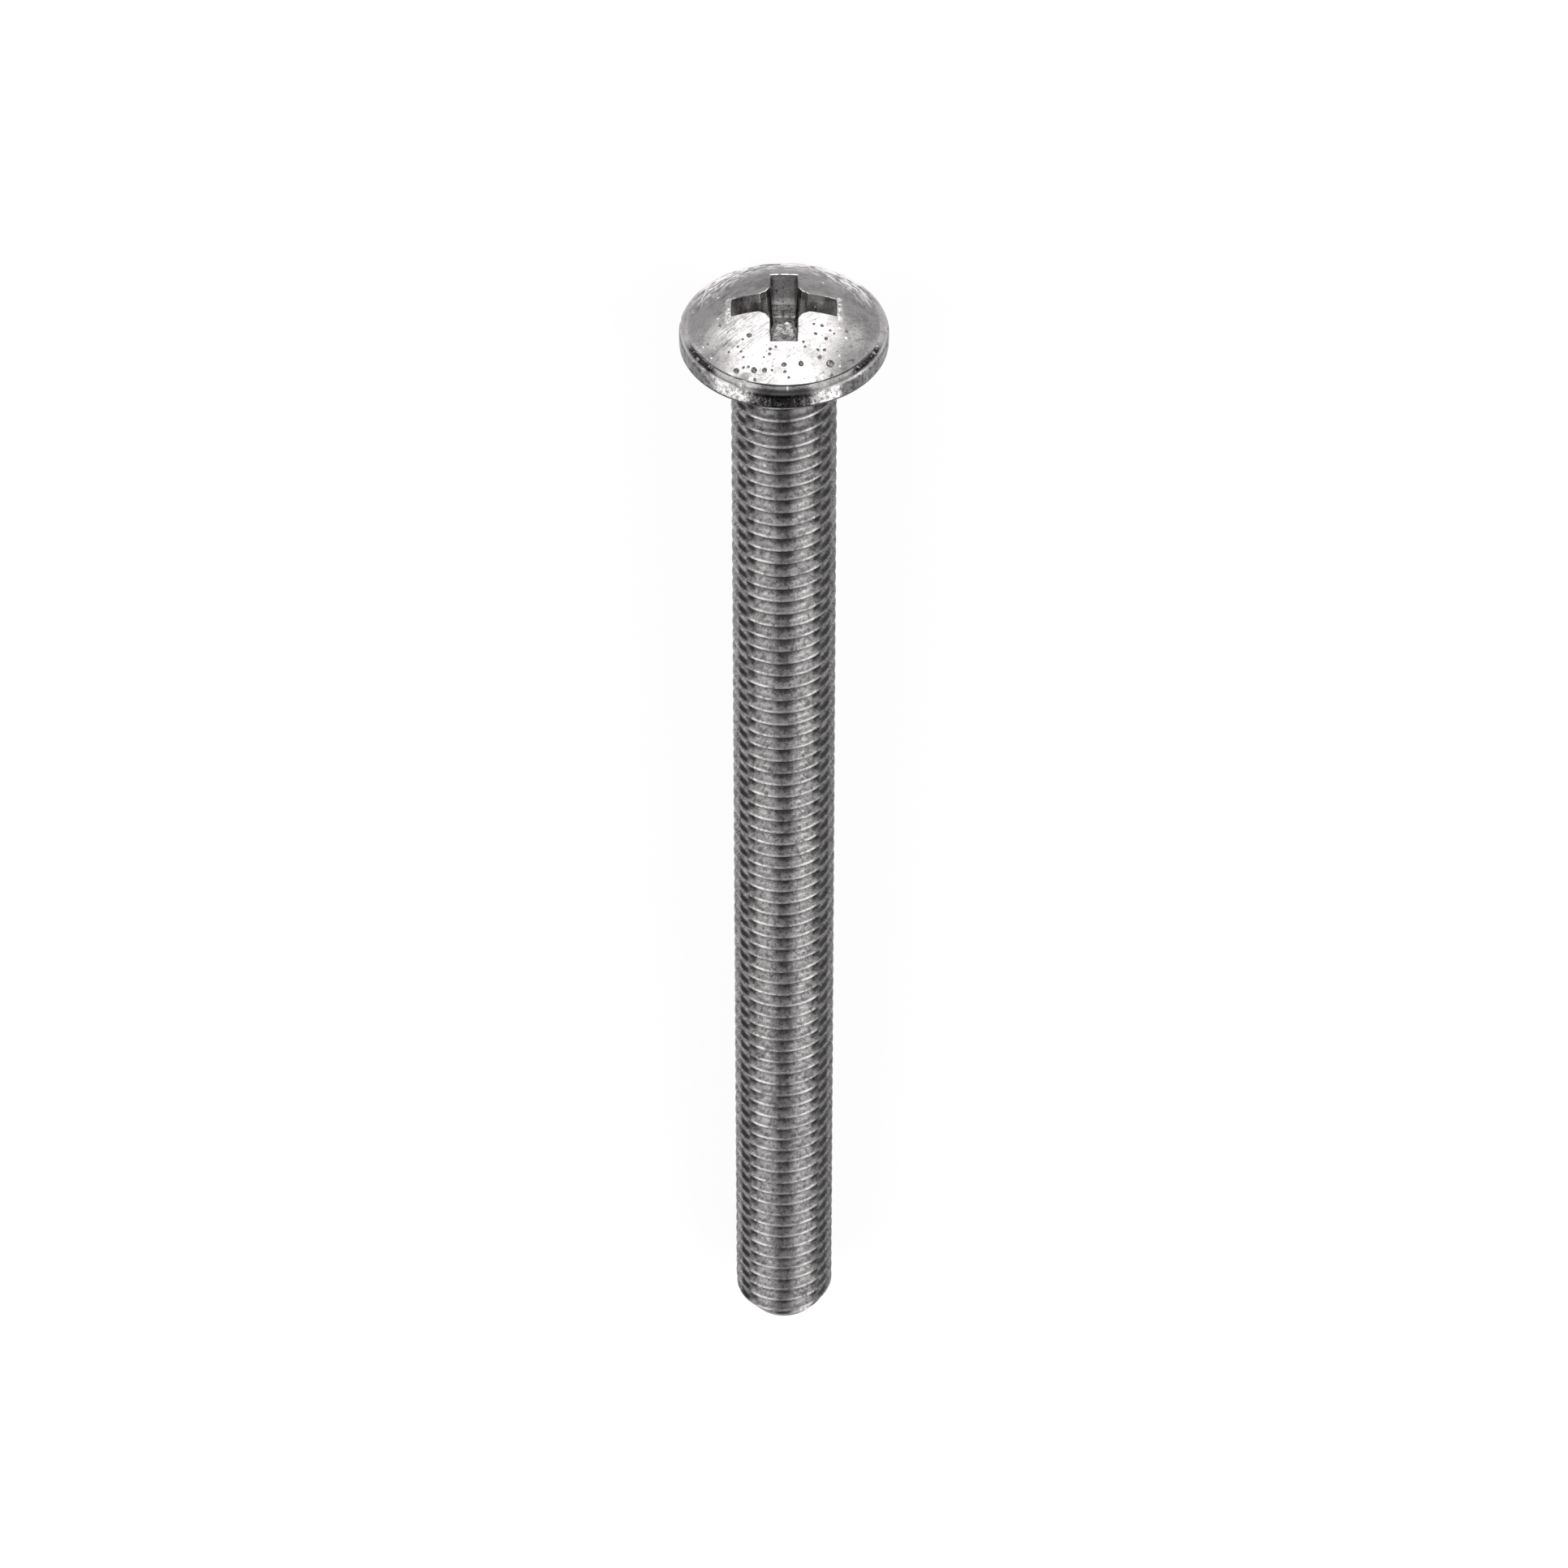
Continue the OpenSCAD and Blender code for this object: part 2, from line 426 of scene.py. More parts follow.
def rib_profile():
    """One pitch of the thread as (rise, r), from the middle of a root to the next."""
    half_root = (PITCH - CREST_FLAT - 2 * FLANK_W) / 2
    edge, worn_edge = 0.035, 0.09
    slope = FLANK_W / THREAD_DEPTH
    crest_start = half_root + FLANK_W
    crest_end = crest_start + CREST_FLAT
    # The crest has a seam in its middle and is rounder on the side that faces the head
    return [
        (0.0, ROOT_R),
        (half_root + edge * slope, ROOT_R + edge),
        (crest_start - edge * slope, THREAD_R - edge),
        (crest_start + edge, THREAD_R),
        (PITCH / 2 - CREST_SEAM, THREAD_R - CREST_SEAM),
        (PITCH / 2, THREAD_R),
        (PITCH / 2 + worn_edge, THREAD_R - 0.6 * worn_edge),
        (crest_end + worn_edge * slope, THREAD_R - worn_edge),
        (PITCH - half_root - edge * slope, ROOT_R + edge),
    ]


def shank_reach(r, z):
    """The thread's radius, held inside the chamfer at the tip and the run-out at the neck."""
    at_tip = TIP_R + (z + LENGTH) * TIP_SLOPE
    at_neck = NECK_R + max(0.0, RUNOUT_Z - z)
    floor = NECK_R - max(0.0, -NECK_L - z)
    return min(max(r, floor), at_tip, at_neck)


def shank_faces(mesh):
    """The thread as a helical sheet, pressed flat past its two ends, and the end of the tip."""
    rib = rib_profile()
    first_pitch = math.ceil(LENGTH / PITCH) + 2
    # A crest stands at CREST_START above a whole pitch on the side that faces the camera
    start_z = CREST_START - first_pitch * PITCH - PITCH * 3 / 4 - PITCH / 2
    steps = (first_pitch + 3) * TURN_STEPS
    # The root and the flank that faces the tip take the darker pit material, a painted shade in the groove
    root_shade_segments = (0, 1, len(rib) - 1)
    rows = []
    for i in range(steps + 1):
        a = 2 * math.pi * i / TURN_STEPS
        row = []
        for rise, r in rib:
            z = min(max(start_z + PITCH * i / TURN_STEPS + rise, -LENGTH), -FILLET_R)
            reach = shank_reach(r, z)
            row.append(mesh.verts.new((reach * math.cos(a), reach * math.sin(a), z)))
        rows.append(row)
    for i in range(steps - TURN_STEPS):
        for k in range(len(rib)):
            last = k + 1 == len(rib)
            over = rows[i + TURN_STEPS][0] if last else rows[i][k + 1]
            across = rows[i + TURN_STEPS + 1][0] if last else rows[i + 1][k + 1]
            face = mesh.faces.new((rows[i][k], rows[i + 1][k], across, over))
            face.material_index = 1 if k in root_shade_segments else 3
    for v in [v for v in mesh.verts if not v.link_faces]:
        mesh.verts.remove(v)
    bmesh.ops.remove_doubles(mesh, verts=mesh.verts, dist=1e-5)
    near = 1e-3
    tip = [v for v in mesh.verts if v.co.z < -LENGTH + near and v.co.xy.length < TIP_R + near]
    half_step = math.pi / TURN_STEPS
    tip.sort(key=lambda v: (math.atan2(v.co.y, v.co.x) + half_step) % (2 * math.pi))
    mesh.faces.new(reversed(tip)).material_index = 3


def screw_mesh():
    """The whole screw as one closed mesh: the cut head, sewn to the thread at its fillet."""
    head = cut_head(head_blank())
    mesh = bmesh.new()
    mesh.from_mesh(head)
    near = 1e-3
    foot = [f for f in mesh.faces if all(v.co.z < -FILLET_R + near for v in f.verts)]
    bmesh.ops.delete(mesh, geom=foot, context="FACES")
    shank = bmesh.new()
    shank_faces(shank)
    thread = bpy.data.meshes.new("thread")
    shank.to_mesh(thread)
    shank.free()
    mesh.from_mesh(thread)
    seam = [v for v in mesh.verts if abs(v.co.z + FILLET_R) < near]
    bmesh.ops.remove_doubles(mesh, verts=seam, dist=near)
    return mesh


def soft_noise(p, size):
    """Smooth noise between -1 and 1, with bumps of about a size in millimetres."""
    return noise.noise(Vector(p) / size)


def nicks(rng):
    """Small knocks round the rim, as (angle, z, radius, depth). The side that shows has most."""
    knocks = []
    for i in range(70):
        angle = rng.gauss(-132, 20) if i % 2 else rng.uniform(-70, 180)
        size = rng.uniform(0.12, 0.4)
        knocks.append((math.radians(angle), rng.uniform(0.1, 2.0), size, size * rng.uniform(0.12, 0.3)))
    return knocks


def wear(mesh):
    """Uneven surfaces, knocks round the rim and crests lowered by wear. Every vertex moves inward."""
    knocks = nicks(random.Random(3))
    centre = Vector((0, 0, HEAD_H - DOME_R))
    wave, ripple, crest_wear = 0.006, 0.003, 0.014
    rim_start = HEAD_R - SHOULDER_W - 0.3
    for v in mesh.verts:
        p = v.co.copy()
        r = p.xy.length
        flat_out = Vector((p.x, p.y, 0)) / max(r, 1e-6)
        if p.z < -FILLET_R:
            height = (r - ROOT_R) / THREAD_DEPTH
            drop = ripple * (1 + soft_noise(p, 0.5))
            if height > 0.9:
                drop += crest_wear * max(0.0, soft_noise(p, 0.6) + 0.8 * soft_noise(p, 0.23))
            v.co -= flat_out * drop
        elif p.z > 0.05 and r > 0.5:
            out = (p - centre).normalized() if r < CREASE_R else flat_out
            v.co -= out * (wave * (1 + soft_noise(p, 2.2)) + ripple * (1 + soft_noise(p, 0.8)))
            if r > rim_start:
                angle = math.atan2(p.y, p.x)
                for knock_angle, knock_z, size, depth in knocks:
                    turn = (angle - knock_angle + math.pi) % (2 * math.pi) - math.pi
                    away = ((turn * HEAD_R)**2 + (p.z - knock_z)**2) / size**2
                    if away < 1:
                        v.co -= (flat_out + Vector((0, 0, 0.4 if p.z > 1.3 else 0))) * depth * (1 - away)**2


class Nodes:
    """Adds nodes to a tree. Each method takes outputs or plain values, and returns an output."""

    def __init__(self, tree):
        tree.nodes.clear()
        self.tree = tree

    def add(self, kind, values, **settings):
        node = self.tree.nodes.new(kind)
        for name, value in settings.items():
            setattr(node, name, value)
        for key, value in values.items():
            if isinstance(value, bpy.types.NodeSocket):
                self.tree.links.new(value, node.inputs[key])
            else:
                node.inputs[key].default_value = value
        return node

    def math(self, operation, a, b=0.0):
        return self.add("ShaderNodeMath", {0: a, 1: b}, operation=operation).outputs[0]

    def clamped(self, a):
        return self.add("ShaderNodeClamp", {0: a}).outputs[0]

    def ramp(self, value, low, high, start=0.0, end=1.0):
        values = {0: value, 1: low, 2: high, 3: start, 4: end}
        return self.add("ShaderNodeMapRange", values, interpolation_type="SMOOTHSTEP").outputs[0]

    def moved(self, vector, scale=(1, 1, 1), turn=(0, 0, 0)):
        values = {"Vector": vector, "Scale": scale, "Rotation": turn}
        return self.add("ShaderNodeMapping", values).outputs[0]

    def noise(self, vector, scale, detail=2.0, roughness=0.5):
        values = {"Vector": vector, "Scale": scale, "Detail": detail, "Roughness": roughness}
        return self.add("ShaderNodeTexNoise", values).outputs[0]

    def cells(self, vector, scale):
        return self.add("ShaderNodeTexVoronoi", {"Vector": vector, "Scale": scale})

    def blend(self, share, a, b):
        return self.add("ShaderNodeMix", {0: share, 2: a, 3: b}, data_type="FLOAT").outputs[0]

    def tint(self, share, dark, light):
        return self.add("ShaderNodeMix", {0: share, 6: dark, 7: light}, data_type="RGBA").outputs[2]


def own_coordinates(nodes):
    """Coordinates along the screw's own axis, in millimetres."""
    spot = nodes.add("ShaderNodeTexCoord", {}).outputs["Object"]
    turn = LYING.to_3x3().normalized().transposed().to_euler()
    return nodes.moved(spot, scale=(1 / MM, 1 / MM, 1 / MM), turn=turn)


def small_pits(nodes, spot, scale, radius, share):
    """Round spots in a share of the cells: 1 in the middle of a spot and 0 outside."""
    cell = nodes.cells(spot, scale)
    chosen = nodes.math("GREATER_THAN", nodes.add("ShaderNodeSeparateColor", {0: cell.outputs["Color"]}).outputs[0],
                        1 - share)
    return nodes.math("MULTIPLY", nodes.ramp(cell.outputs["Distance"], radius, radius * 0.4), chosen)


def blob(nodes, spot, place, size):
    """A soft round mark at a place, 1 in its middle and 0 outside."""
    away = nodes.add("ShaderNodeVectorMath", {0: spot, 1: place}, operation="SUBTRACT").outputs[0]
    away = nodes.add("ShaderNodeVectorMath", {0: away, 1: size}, operation="DIVIDE").outputs[0]
    length = nodes.add("ShaderNodeVectorMath", {0: away}, operation="LENGTH").outputs["Value"]
    return nodes.ramp(length, 1.0, 0.0)


def tone(value):
    """The grey of the steel at a brightness, a touch warm."""
    return value, value * 0.965, value * 0.966, 1


class Plating:
    """What every plated surface shares: coordinates, noises and the shader made from its masks."""

    def __init__(self, name):
        self.material = bpy.data.materials.get(name) or bpy.data.materials.new(name)
        self.material.use_nodes = True
        nodes = self.nodes = Nodes(self.material.node_tree)
        own = self.own = own_coordinates(nodes)
        x, y, z = self.x, self.y, self.z = nodes.add("ShaderNodeSeparateXYZ", {0: own}).outputs
        self.r = nodes.math("SQRT", nodes.math("ADD", nodes.math("MULTIPLY", x, x), nodes.math("MULTIPLY", y, y)))
        self.off_axis = nodes.math("ABSOLUTE", x)
        self.neck = self.both(nodes.ramp(z, -0.02, -0.15), nodes.ramp(z, -1.1, -0.8))
        self.speckle = nodes.noise(own, 6.0, 4.0, 0.7)
        self.grain = nodes.noise(own, 14.0, 2.0, 0.6)
        self.pits = small_pits(nodes, own, 2.6, 0.16, 0.3)
        self.fine_pits = small_pits(nodes, own, 6.0, 0.2, 0.3)
        patches = nodes.noise(own, 0.9, 3.0, 0.6)
        self.mottle = nodes.math("ADD", nodes.math("MULTIPLY", patches, 0.5),
                                 nodes.math("MULTIPLY", self.speckle, 0.5))

    def both(self, *masks):
        """The product of masks."""
        product = masks[0]
        for mask in masks[1:]:
            product = self.nodes.math("MULTIPLY", product, mask)
        return product

    def total(self, pairs):
        """The sum of values, each times its amount."""
        added = 0.0
        for value, amount in pairs:
            added = self.nodes.math("ADD", added, self.nodes.math("MULTIPLY", value, amount))
        return added

    def finish(self, shade, brighter, factors, paints, roughness, metallic, heights):
        """The shader: mottled plating times its factors, then painted, over heights in millimetres."""
        nodes = self.nodes
        colour = nodes.tint(shade, tone(0.27), tone(0.5))
        for share, amount in factors:
            brighter = nodes.math("MULTIPLY", brighter, nodes.blend(share, 1.0, amount))
        colour = nodes.add("ShaderNodeVectorMath", {0: colour, "Scale": brighter}, operation="SCALE").outputs[0]
        for share, paint in paints:
            colour = nodes.tint(share, colour, tone(paint))
        rough = nodes.math("ADD", nodes.ramp(self.mottle, 0.35, 0.65, 0.3, 0.2), self.total(roughness))
        bump = nodes.add("ShaderNodeBump", {"Strength": 1.0, "Distance": MM, "Height": self.total(heights)})
        shader = nodes.add("ShaderNodeBsdfPrincipled", {
            "Base Color": colour, "Metallic": metallic, "Roughness": rough, "Normal": bump.outputs[0],
        })
        nodes.add("ShaderNodeOutputMaterial", {0: shader.outputs[0]})
        return self.material


def threaded_steel():
    """The plating of the shank: crests with painted highlights over grooves with painted shade, painted light and
    shade across its sides, duller towards the tip.
    """
    plate = Plating("threaded")
    nodes, both, ramp, off_axis, r = plate.nodes, plate.both, plate.nodes.ramp, plate.off_axis, plate.r
    on_thread = ramp(plate.z, -1.0, -1.6)
    to_tip = ramp(plate.z, -30.0, -95.0)
    # Masks across the thread for painted light and shade, set by how far a point lies to each side; their factors
    # are below
    far_side = both(ramp(off_axis, 2.5, 2.95), on_thread)
    right_side = both(on_thread, ramp(plate.x, 2.3, 2.7))
    middle = both(ramp(off_axis, 1.05, 0.2), ramp(plate.z, -1.8, -4.0))
    near_neck = both(ramp(off_axis, 1.3, 0.6), ramp(plate.z, -4.5, -3.0))
    lobes = both(ramp(off_axis, 0.3, 0.85), ramp(off_axis, 2.5, 1.7), on_thread)

    # From the groove out to the crest
    inner = ramp(r, THREAD_R - 0.15, THREAD_R - 0.5)
    # Painted shade in the roots of the thread, lifted where the flanks take painted light
    groove_unshaded = nodes.math("ADD", nodes.math("MULTIPLY", lobes, 0.45), far_side)
    groove = both(ramp(r, ROOT_R + 0.1, ROOT_R + 0.05), on_thread, nodes.math("SUBTRACT", 1.0, nodes.clamped(groove_unshaded)))
    near_side = both(ramp(off_axis, 2.0, 2.35), ramp(off_axis, 2.95, 2.6), on_thread, inner)
    lit_flank = both(lobes, inner)
    glow = both(ramp(off_axis, 0.9, 1.2), ramp(off_axis, 1.75, 1.4), ramp(r, ROOT_R + 0.08, ROOT_R + 0.25),
                ramp(r, THREAD_R - 0.2, THREAD_R - 0.4), on_thread)
    over_crest = both(ramp(r, THREAD_R - 0.42, THREAD_R - 0.25), ramp(r, THREAD_R - 0.05, THREAD_R - 0.1), on_thread)
    # A painted shade: a near-black band under the crests on the far sides of the thread
    wedge = both(far_side, ramp(r, THREAD_R - 0.44, THREAD_R - 0.26), ramp(r, THREAD_R - 0.03, THREAD_R - 0.09),
                 ramp(off_axis, 3.6, 3.3), ramp(plate.x, 1.0, -1.0, 0.85, 0.95))
    # Painted highlights on the crests between the middle and the sides, and painted shade on the crests at the sides
    on_crest = both(ramp(r, THREAD_R - 0.1, THREAD_R - 0.05), on_thread)
    crest_side = both(on_crest, ramp(off_axis, 1.8, 2.6), ramp(off_axis, 3.6, 3.1))
    crest = both(on_crest, ramp(off_axis, 2.9, 1.8), ramp(off_axis, 0.2, 0.8, 0.6, 1.0))

    drawn = nodes.noise(nodes.moved(plate.own, (3.5, 3.5, 0.6)), 1.0, 3.0, 0.6)
    streaky = both(ramp(drawn, 0.52, 0.38), on_thread)
    shade = ramp(plate.mottle, 0.4, 0.6)
    # Pits, the tip and the streaks belong to the plating; far_side, glow, near_neck and lit_flank are painted light,
    # and right_side, near_side, middle, over_crest and crest_side are painted shade
    factors = (
        (plate.pits, 0.35), (plate.fine_pits, 0.5), (to_tip, 0.9), (streaky, 0.5), (far_side, 1.08),
        (right_side, 0.65), (glow, 1.35), (near_neck, 2.2), (near_side, 0.2), (lit_flank, 1.55), (middle, 0.55),
        (over_crest, 0.78), (crest_side, 0.4),
    )
    # Painted shade in the roots and the wedges, painted light on the neck under the head, and painted highlights on
    # the crests
    paints = ((groove, 0.06), (wedge, 0.02), (both(plate.neck, shade), 0.6), (both(crest, shade), 0.4))
    roughness = ((groove, 0.1), (to_tip, 0.06), (plate.neck, 0.25))
    heights = (
        (plate.speckle, 0.02), (both(plate.grain, nodes.blend(to_tip, 0.002, 0.005)), 1.0),
        (plate.pits, -0.05), (plate.fine_pits, -0.02),
    )
    metallic = nodes.math("MAXIMUM", wedge, 0.7)
    metallic = nodes.math("MULTIPLY", metallic, nodes.blend(lit_flank, 1.0, 0.8))
    return plate.finish(shade, 0.8, factors, paints, roughness, metallic, heights)


def plated_steel():
    """The plating of the head: a dome with a painted sheen in front and painted shade on its sides, painted light
    and shade in the recess, and a knocked rim with painted light and shade.
    """
    plate = Plating("steel")
    nodes, both, ramp, own = plate.nodes, plate.both, plate.nodes.ramp, plate.own
    x, y, z, r, off_axis = plate.x, plate.y, plate.z, plate.r, plate.off_axis
    on_head = ramp(z, -0.3, 0.0)
    on_top = ramp(z, 1.4, 1.9)
    in_front = ramp(y, -2.4, -3.6)

    # Domed top
    # A painted sheen on the front of the dome; outside it the top takes painted shade on its sides and back
    sheen = both(ramp(nodes.math("ABSOLUTE", nodes.math("ADD", x, 0.36)), 5.2, 2.8), ramp(y, 1.8, -0.6))
    shaded_dome_sides = both(on_top, nodes.math("SUBTRACT", 1.0, sheen))
    behind = both(ramp(y, 0.5, 4.5), on_top, ramp(r, 4.2, 6.6))
    brush_turn = math.radians(-35)
    along_brush = nodes.moved(own, turn=(0, 0, brush_turn))
    brushed = nodes.noise(nodes.moved(along_brush, (0.9, 8.0, 0.9)), 1.0, 3.0, 0.7)
    scored = nodes.noise(nodes.moved(along_brush, (0.2, 5.0, 0.4)), 1.0, 2.0, 0.6)
    scratch = ramp(scored, 0.66, 0.7)
    marks = both(ramp(brushed, 0.56, 0.4), on_top, ramp(x, 1.0, -1.5), ramp(y, -5.0, -3.4), ramp(x, -5.4, -4.4))
    angle = nodes.math("ARCTAN2", y, x)
    round_spot = nodes.add("ShaderNodeCombineXYZ", {0: nodes.math("MULTIPLY", angle, 7.0),
                                                    1: nodes.math("MULTIPLY", r, 4.5),
                                                    2: nodes.math("MULTIPLY", z, 2.0)}).outputs[0]
    streaks = nodes.noise(round_spot, 1.0, 3.0, 0.65)
    # Painted highlights: white streaks over the back of the dome
    back_glints = both(behind, ramp(streaks, 0.5, 0.56))
    # Darker streaks over the back of the dome
    dark_back_streaks = both(behind, ramp(streaks, 0.43, 0.37))
    # Painted highlights along the back of the dome at the crease, broken up by the streaks
    back_edge = both(ramp(y, 3.4, 5.0), ramp(r, CREASE_R - 0.4, CREASE_R - 0.1), on_head, ramp(streaks, 0.42, 0.5))
    specks = small_pits(nodes, nodes.moved(own, (1, 1, 1.01)), 1.7, 0.2, 0.3)
    dents = nodes.noise(own, 3.0, 3.0, 0.6)
    # Painted highlights on the dome just past the ends of the left and right wings of the recess
    wing_end_glint = both(ramp(off_axis, 3.9, 4.0), ramp(off_axis, 4.4, 4.0), ramp(nodes.math("ABSOLUTE", y), 1.7, 0.9),
                on_top, ramp(dents, 0.45, 0.55))

    # Shoulder, with painted shade over its front and middle, and on a band across the front of the rim
    past_crease = both(ramp(r, CREASE_R - 0.08, CREASE_R), ramp(z, 1.25, 1.6))
    shoulder_middle = both(past_crease, ramp(off_axis, 2.2, 1.4))
    brow = both(ramp(z, 0.9, 1.1), ramp(r, CREASE_R + 0.25, CREASE_R + 0.4), in_front, ramp(off_axis, 2.6, 1.7))
    # Painted shadow: ragged near-black crescents on the front sides, just past the crease
    crease_shadow = both(ramp(off_axis, 4.7, 5.3), ramp(y, -1.2, -3.0), ramp(r, CREASE_R + 0.02, CREASE_R + 0.1),
                   ramp(r, CREASE_R + 0.55, CREASE_R + 0.38), ramp(dents, 0.34, 0.44))
    # A lighter grey spot on the front of the shoulder
    pale_spot = blob(nodes, own, (0.25, -7.15, 1.45), (0.14, 0.4, 0.35))

    # Rim, with painted shade outside two lit patches, on its right and in its middle, and a painted shadow along its
    # lower edge
    on_rim = both(on_head, ramp(z, 1.4, 1.2))
    lit_left = both(ramp(x, -5.3, -4.7), ramp(x, -2.3, -3.0))
    lit_right = both(ramp(x, 1.6, 2.2), ramp(x, 4.4, 3.9))
    shaded_rim = both(on_rim, nodes.math("SUBTRACT", 1.0, nodes.math("ADD", lit_left, lit_right)))
    dark_rim = both(on_rim, ramp(x, 4.0, 4.5), ramp(x, 6.2, 5.4))
    dented = both(on_rim, ramp(dents, 0.5, 0.58))
    rim_middle = both(on_rim, ramp(nodes.math("ABSOLUTE", nodes.math("ADD", x, 0.1)), 2.4, 1.7))
    # Painted shadow along the lower edge of the rim
    low_edge = both(ramp(z, 0.3, 0.2), ramp(r, HEAD_R - 0.5, HEAD_R - 0.25), on_head)

    # Recess, with painted light on its wing ends, corners, the feet of its walls and its floor, and painted shade in
    # its wings and on the wing sides
    inside = both(ramp(r, 4.2, 4.0), ramp(z, 3.2, 2.9))
    in_wings = both(inside, ramp(off_axis, 1.3, 1.7))
    wing_ends = both(inside, ramp(off_axis, 2.2, 3.0))
    wing_sides = both(inside, ramp(off_axis, 0.65, 0.9), ramp(off_axis, 1.1, 0.98), ramp(z, 0.6, 0.8))
    corners = both(inside, ramp(off_axis, 0.96, 1.06), ramp(off_axis, 1.7, 1.4))
    wall_foot = both(inside, ramp(off_axis, 0.95, 0.8), ramp(z, 1.4, 1.05), ramp(y, 2.2, 2.5))
    floor = both(inside, ramp(z, 0.7, 0.55))
    spread = nodes.math("ADD", off_axis, nodes.math("MULTIPLY", y, 0.26))
    at_front = both(floor, ramp(y, 1.7, 1.4))
    floor_sides = both(at_front, ramp(spread, 0.85, 0.95))
    floor_front = both(at_front, ramp(spread, 0.95, 0.85))
    # A lump in the floor of the recess: a bump, with a painted highlight on it
    lump = blob(nodes, own, (0.23, 1.75, 0.55), (0.42, 0.3, 0.3))
    dot = blob(nodes, own, (-0.55, 3.3, 2.2), (0.16, 0.3, 0.2))

    shade = ramp(plate.mottle, 0.34, 0.58)
    # Pits, marks, scratches and dents belong to the plating; the other factors are painted light and shade
    factors = (
        (plate.pits, 0.35), (plate.fine_pits, 0.5), (marks, 0.6), (scratch, 0.5), (shaded_dome_sides, 0.54),
        (both(past_crease, in_front), 0.5), (shoulder_middle, 0.42), (brow, 0.3), (in_wings, 0.65),
        (wing_ends, 3.0), (wing_sides, 0.5), (corners, 2.6), (wall_foot, 3.4), (floor, 1.4), (floor_front, 2.3),
        (floor_sides, 0.95), (shaded_rim, 0.42), (dark_rim, 0.5), (dented, 0.4), (rim_middle, 0.6),
    )
    # Among the paints, the crescents at the crease and the lower edge of the rim are painted shadow, the streaks and
    # edge at the back, the marks past the wing ends and the lump are painted highlights, and the neck is painted
    # light
    paints = (
        (crease_shadow, 0.012), (low_edge, 0.05), (back_glints, 0.98), (dark_back_streaks, 0.08), (back_edge, 0.98),
        (both(specks, shaded_dome_sides), 0.85), (wing_end_glint, 0.8), (lump, 0.8), (dot, 0.03), (pale_spot, 0.6),
        (both(plate.neck, shade), 0.6),
    )
    roughness = ((scratch, 0.1), (behind, 0.05), (plate.neck, 0.25), (on_top, 0.04))
    heights = (
        (plate.speckle, 0.008), (plate.grain, 0.002), (both(brushed, on_top), 0.009), (both(scratch, on_top), -0.01),
        (both(streaks, behind), 0.09), (both(plate.speckle, inside), 0.015), (plate.pits, -0.05),
        (plate.fine_pits, -0.02), (both(dents, on_rim), 0.06), (lump, 0.12),
    )
    brighter = nodes.blend(on_head, 0.8, 1.0)
    metallic = nodes.blend(on_head, 0.7, 1.0)
    return plate.finish(shade, brighter, factors, paints, roughness, metallic, heights)


def pits_and_root_shade_steel():
    """The darker metal inside the pits and scratches, also a painted shade on the thread's roots and the flanks that
    face the tip.
    """
    material = bpy.data.materials.get("pits_and_root_shade")
    material.use_nodes = True
    nodes = Nodes(material.node_tree)
    mottle = nodes.noise(own_coordinates(nodes), 9.0, 3.0, 0.6)
    colour = nodes.tint(nodes.ramp(mottle, 0.4, 0.6), tone(0.07), tone(0.2))
    rough = nodes.ramp(mottle, 0.35, 0.65, 0.5, 0.38)
    shader = nodes.add("ShaderNodeBsdfPrincipled", {"Base Color": colour, "Metallic": 1.0, "Roughness": rough})
    nodes.add("ShaderNodeOutputMaterial", {0: shader.outputs[0]})
    return material


def rubbed_steel():
    """The bright edges of the recess, with duller breaks."""
    material = bpy.data.materials.get("rubbed")
    material.use_nodes = True
    nodes = Nodes(material.node_tree)
    mottle = nodes.noise(own_coordinates(nodes), 2.2, 3.0, 0.7)
    colour = nodes.tint(nodes.ramp(mottle, 0.4, 0.5), tone(0.15), tone(0.5))
    shader = nodes.add("ShaderNodeBsdfPrincipled", {"Base Color": colour, "Metallic": 1.0, "Roughness": 0.3})
    nodes.add("ShaderNodeOutputMaterial", {0: shader.outputs[0]})
    return material


def machine_screw():
    mesh = screw_mesh()
    wear(mesh)
    screw = to_object(mesh, "dressed_screw")
    screw.data.transform(LYING)
    for face in screw.data.polygons:
        face.use_smooth = True
    screw.data.set_sharp_from_angle(angle=math.radians(38))
    for material in (plated_steel(), pits_and_root_shade_steel(), rubbed_steel(), threaded_steel()):
        screw.data.materials.append(material)
    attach(screw, "root")
    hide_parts("machine_screw")


def make_floor():
    """A pale floor at the height that the screw lies on. Eyes and reflections see it mostly white."""
    low, high = cad_box
    bpy.ops.mesh.primitive_plane_add(size=1.6, location=(0, low[1] / 2, low[2]))
    floor = bpy.context.object
    floor.name = "floor"
    material = bpy.data.materials.new("pale_floor")
    material.use_nodes = True
    nodes = Nodes(material.node_tree)
    paint = nodes.add("ShaderNodeBsdfDiffuse", {"Color": (0.9, 0.9, 0.9, 1)})
    white = nodes.add("ShaderNodeEmission", {"Color": (1, 1, 1, 1), "Strength": 1.0})
    path = nodes.add("ShaderNodeLightPath", {}).outputs
    seen = nodes.math("MAXIMUM", path["Is Camera Ray"], path["Is Transmission Ray"])
    seen = nodes.math("MULTIPLY", nodes.math("MAXIMUM", seen, path["Is Glossy Ray"]), 0.92)
    mix = nodes.add("ShaderNodeMixShader", {0: seen, 1: paint.outputs[0], 2: white.outputs[0]})
    nodes.add("ShaderNodeOutputMaterial", {0: mix.outputs[0]})
    floor.data.materials.append(material)


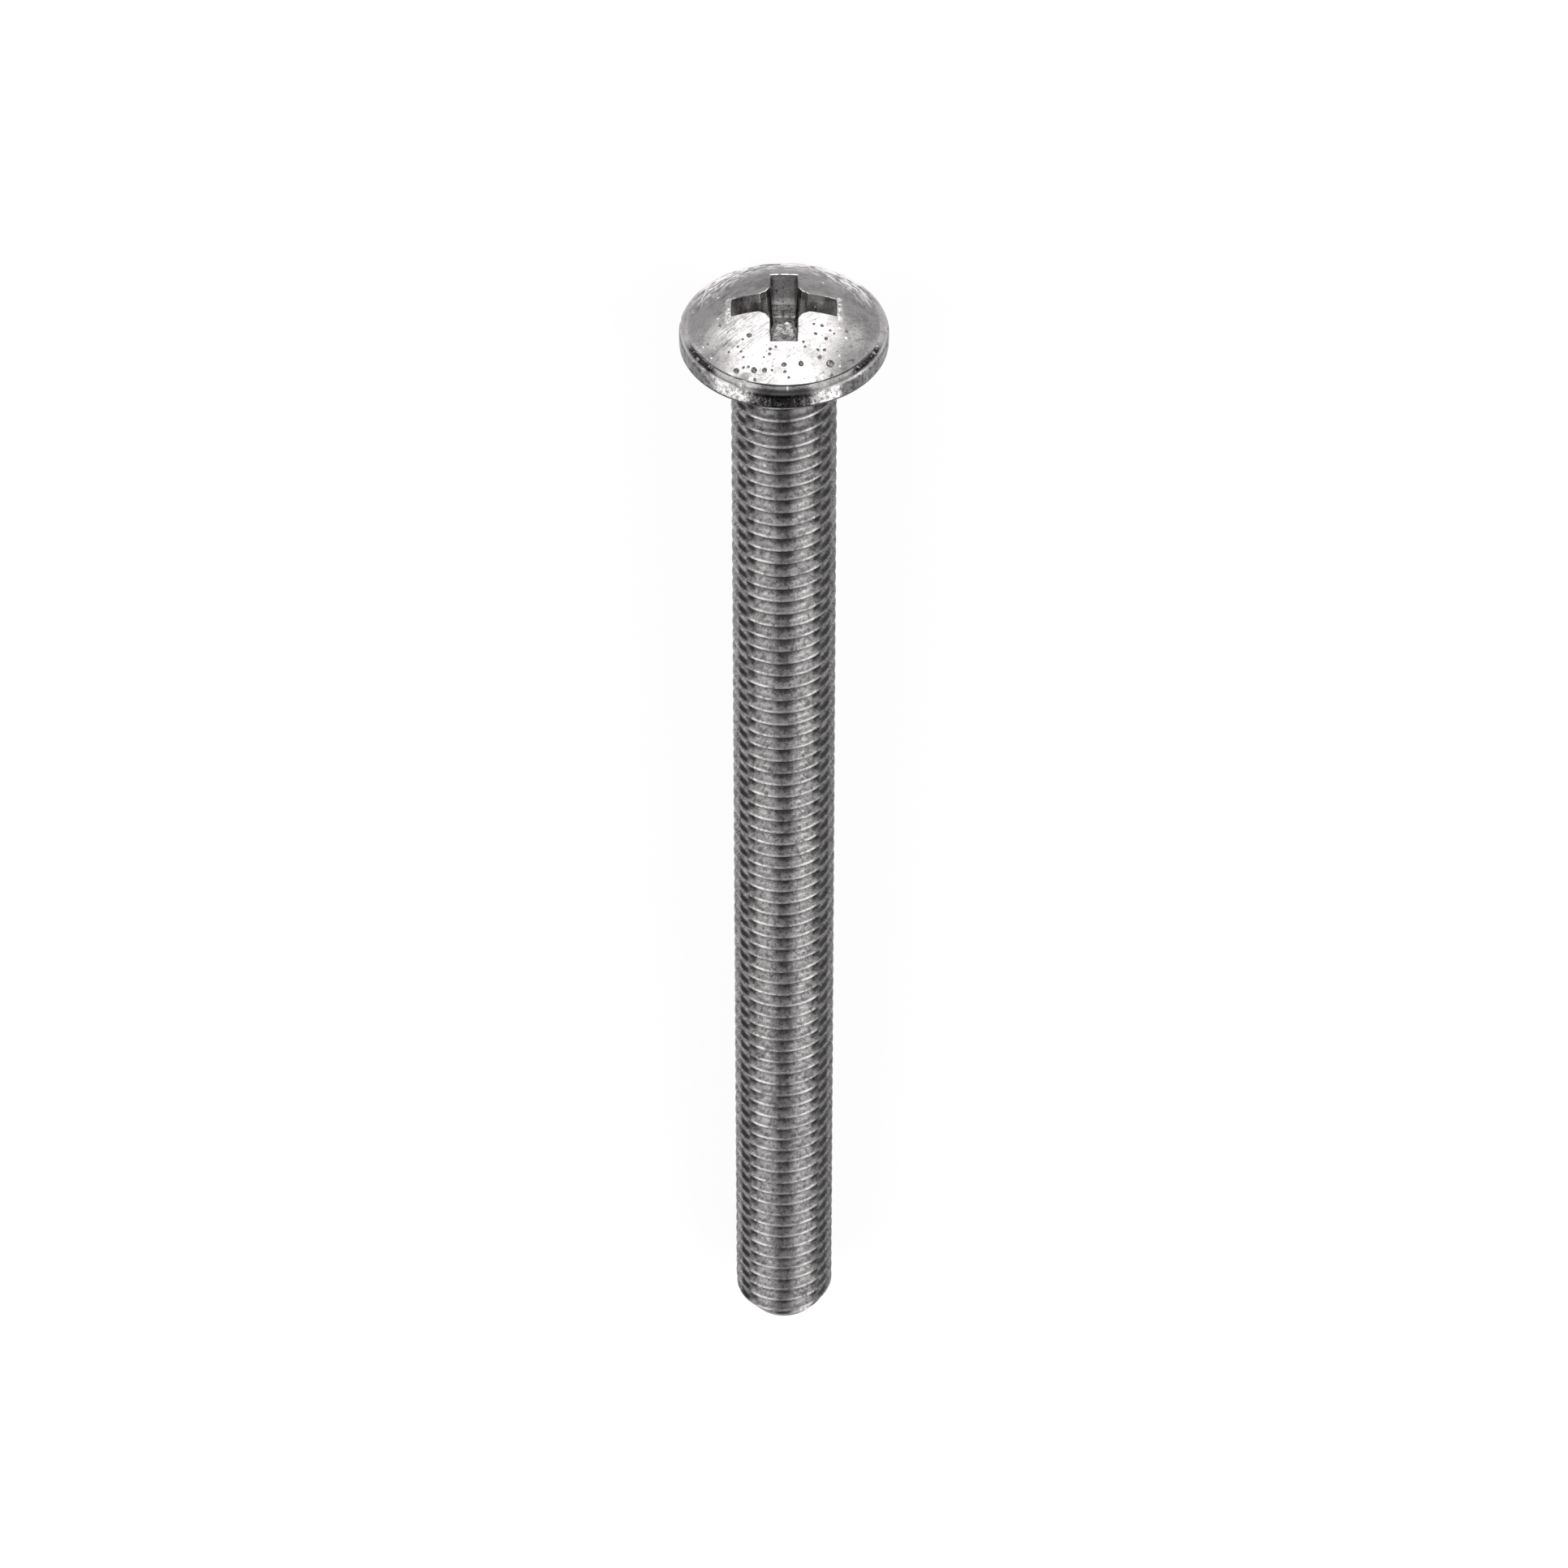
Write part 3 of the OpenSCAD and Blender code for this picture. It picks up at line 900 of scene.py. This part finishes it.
def make_world():
    """A pale horizon under a dark ceiling, as in a studio, with a paler wall past the head."""
    world = bpy.data.worlds.new("world")
    bpy.context.scene.world = world
    world.use_nodes = True
    nodes = Nodes(world.node_tree)
    direction = nodes.add("ShaderNodeTexCoord", {}).outputs["Generated"]
    toward, up = nodes.add("ShaderNodeSeparateXYZ", {0: direction}).outputs[1:]
    to_head = nodes.ramp(toward, 0.12, 0.35, 0.05, 0.9)
    strength = nodes.math("MAXIMUM", nodes.ramp(up, 0.1, 0.4, 0.85, 0.05), to_head)
    back = nodes.add("ShaderNodeBackground", {"Color": (1, 1, 1, 1), "Strength": strength})
    nodes.add("ShaderNodeOutputWorld", {0: back.outputs[0]})


def panel_light(name, place, aim, width, height, radiance):
    """A soft panel that faces a point. Its height runs along the screw as far as it can."""
    data = bpy.data.lights.new(name, "AREA")
    data.shape = "RECTANGLE"
    data.size = width
    data.size_y = height
    data.energy = radiance * math.pi * width * height
    lamp = bpy.data.objects.new(name, data)
    away = (Vector(place) - Vector(aim)).normalized()
    side = Vector((0, 1, 0)).cross(away).normalized()
    turn = Matrix((side, away.cross(side), away)).transposed().to_4x4()
    lamp.matrix_world = Matrix.Translation(Vector(place)) @ turn
    lamp.visible_camera = False
    bpy.context.collection.objects.link(lamp)


def make_lights():
    """A panel past the head, a low one in front of the dome, and one on each side of the thread."""
    level = cad_box[0][2] + 0.001
    panel_light("head_panel", (-0.03, 0.55, 0.115), (0, 0, 0), 0.7, 0.25, 2.5)
    panel_light("low_panel", (-0.01, 0.22, level), (-0.01, 0.22, 1), 0.2, 0.29, 2.2)
    panel_light("near_panel", (-0.002, 0.0435, level), (-0.002, 0.0435, 1), 0.05, 0.064, 1.8)
    panel_light("left_panel", (-0.427, -0.24, 0.267), (0, -0.24, 0), 0.49, 0.95, 2.4)
    panel_light("right_panel", (0.423, -0.24, 0.2745), (0, -0.24, 0), 0.606, 0.95, 2.4)
    make_world()


def main():
    make_camera()
    machine_screw()
    make_floor()
    make_lights()


main()
bpy.context.scene.view_settings.view_transform = "Standard"
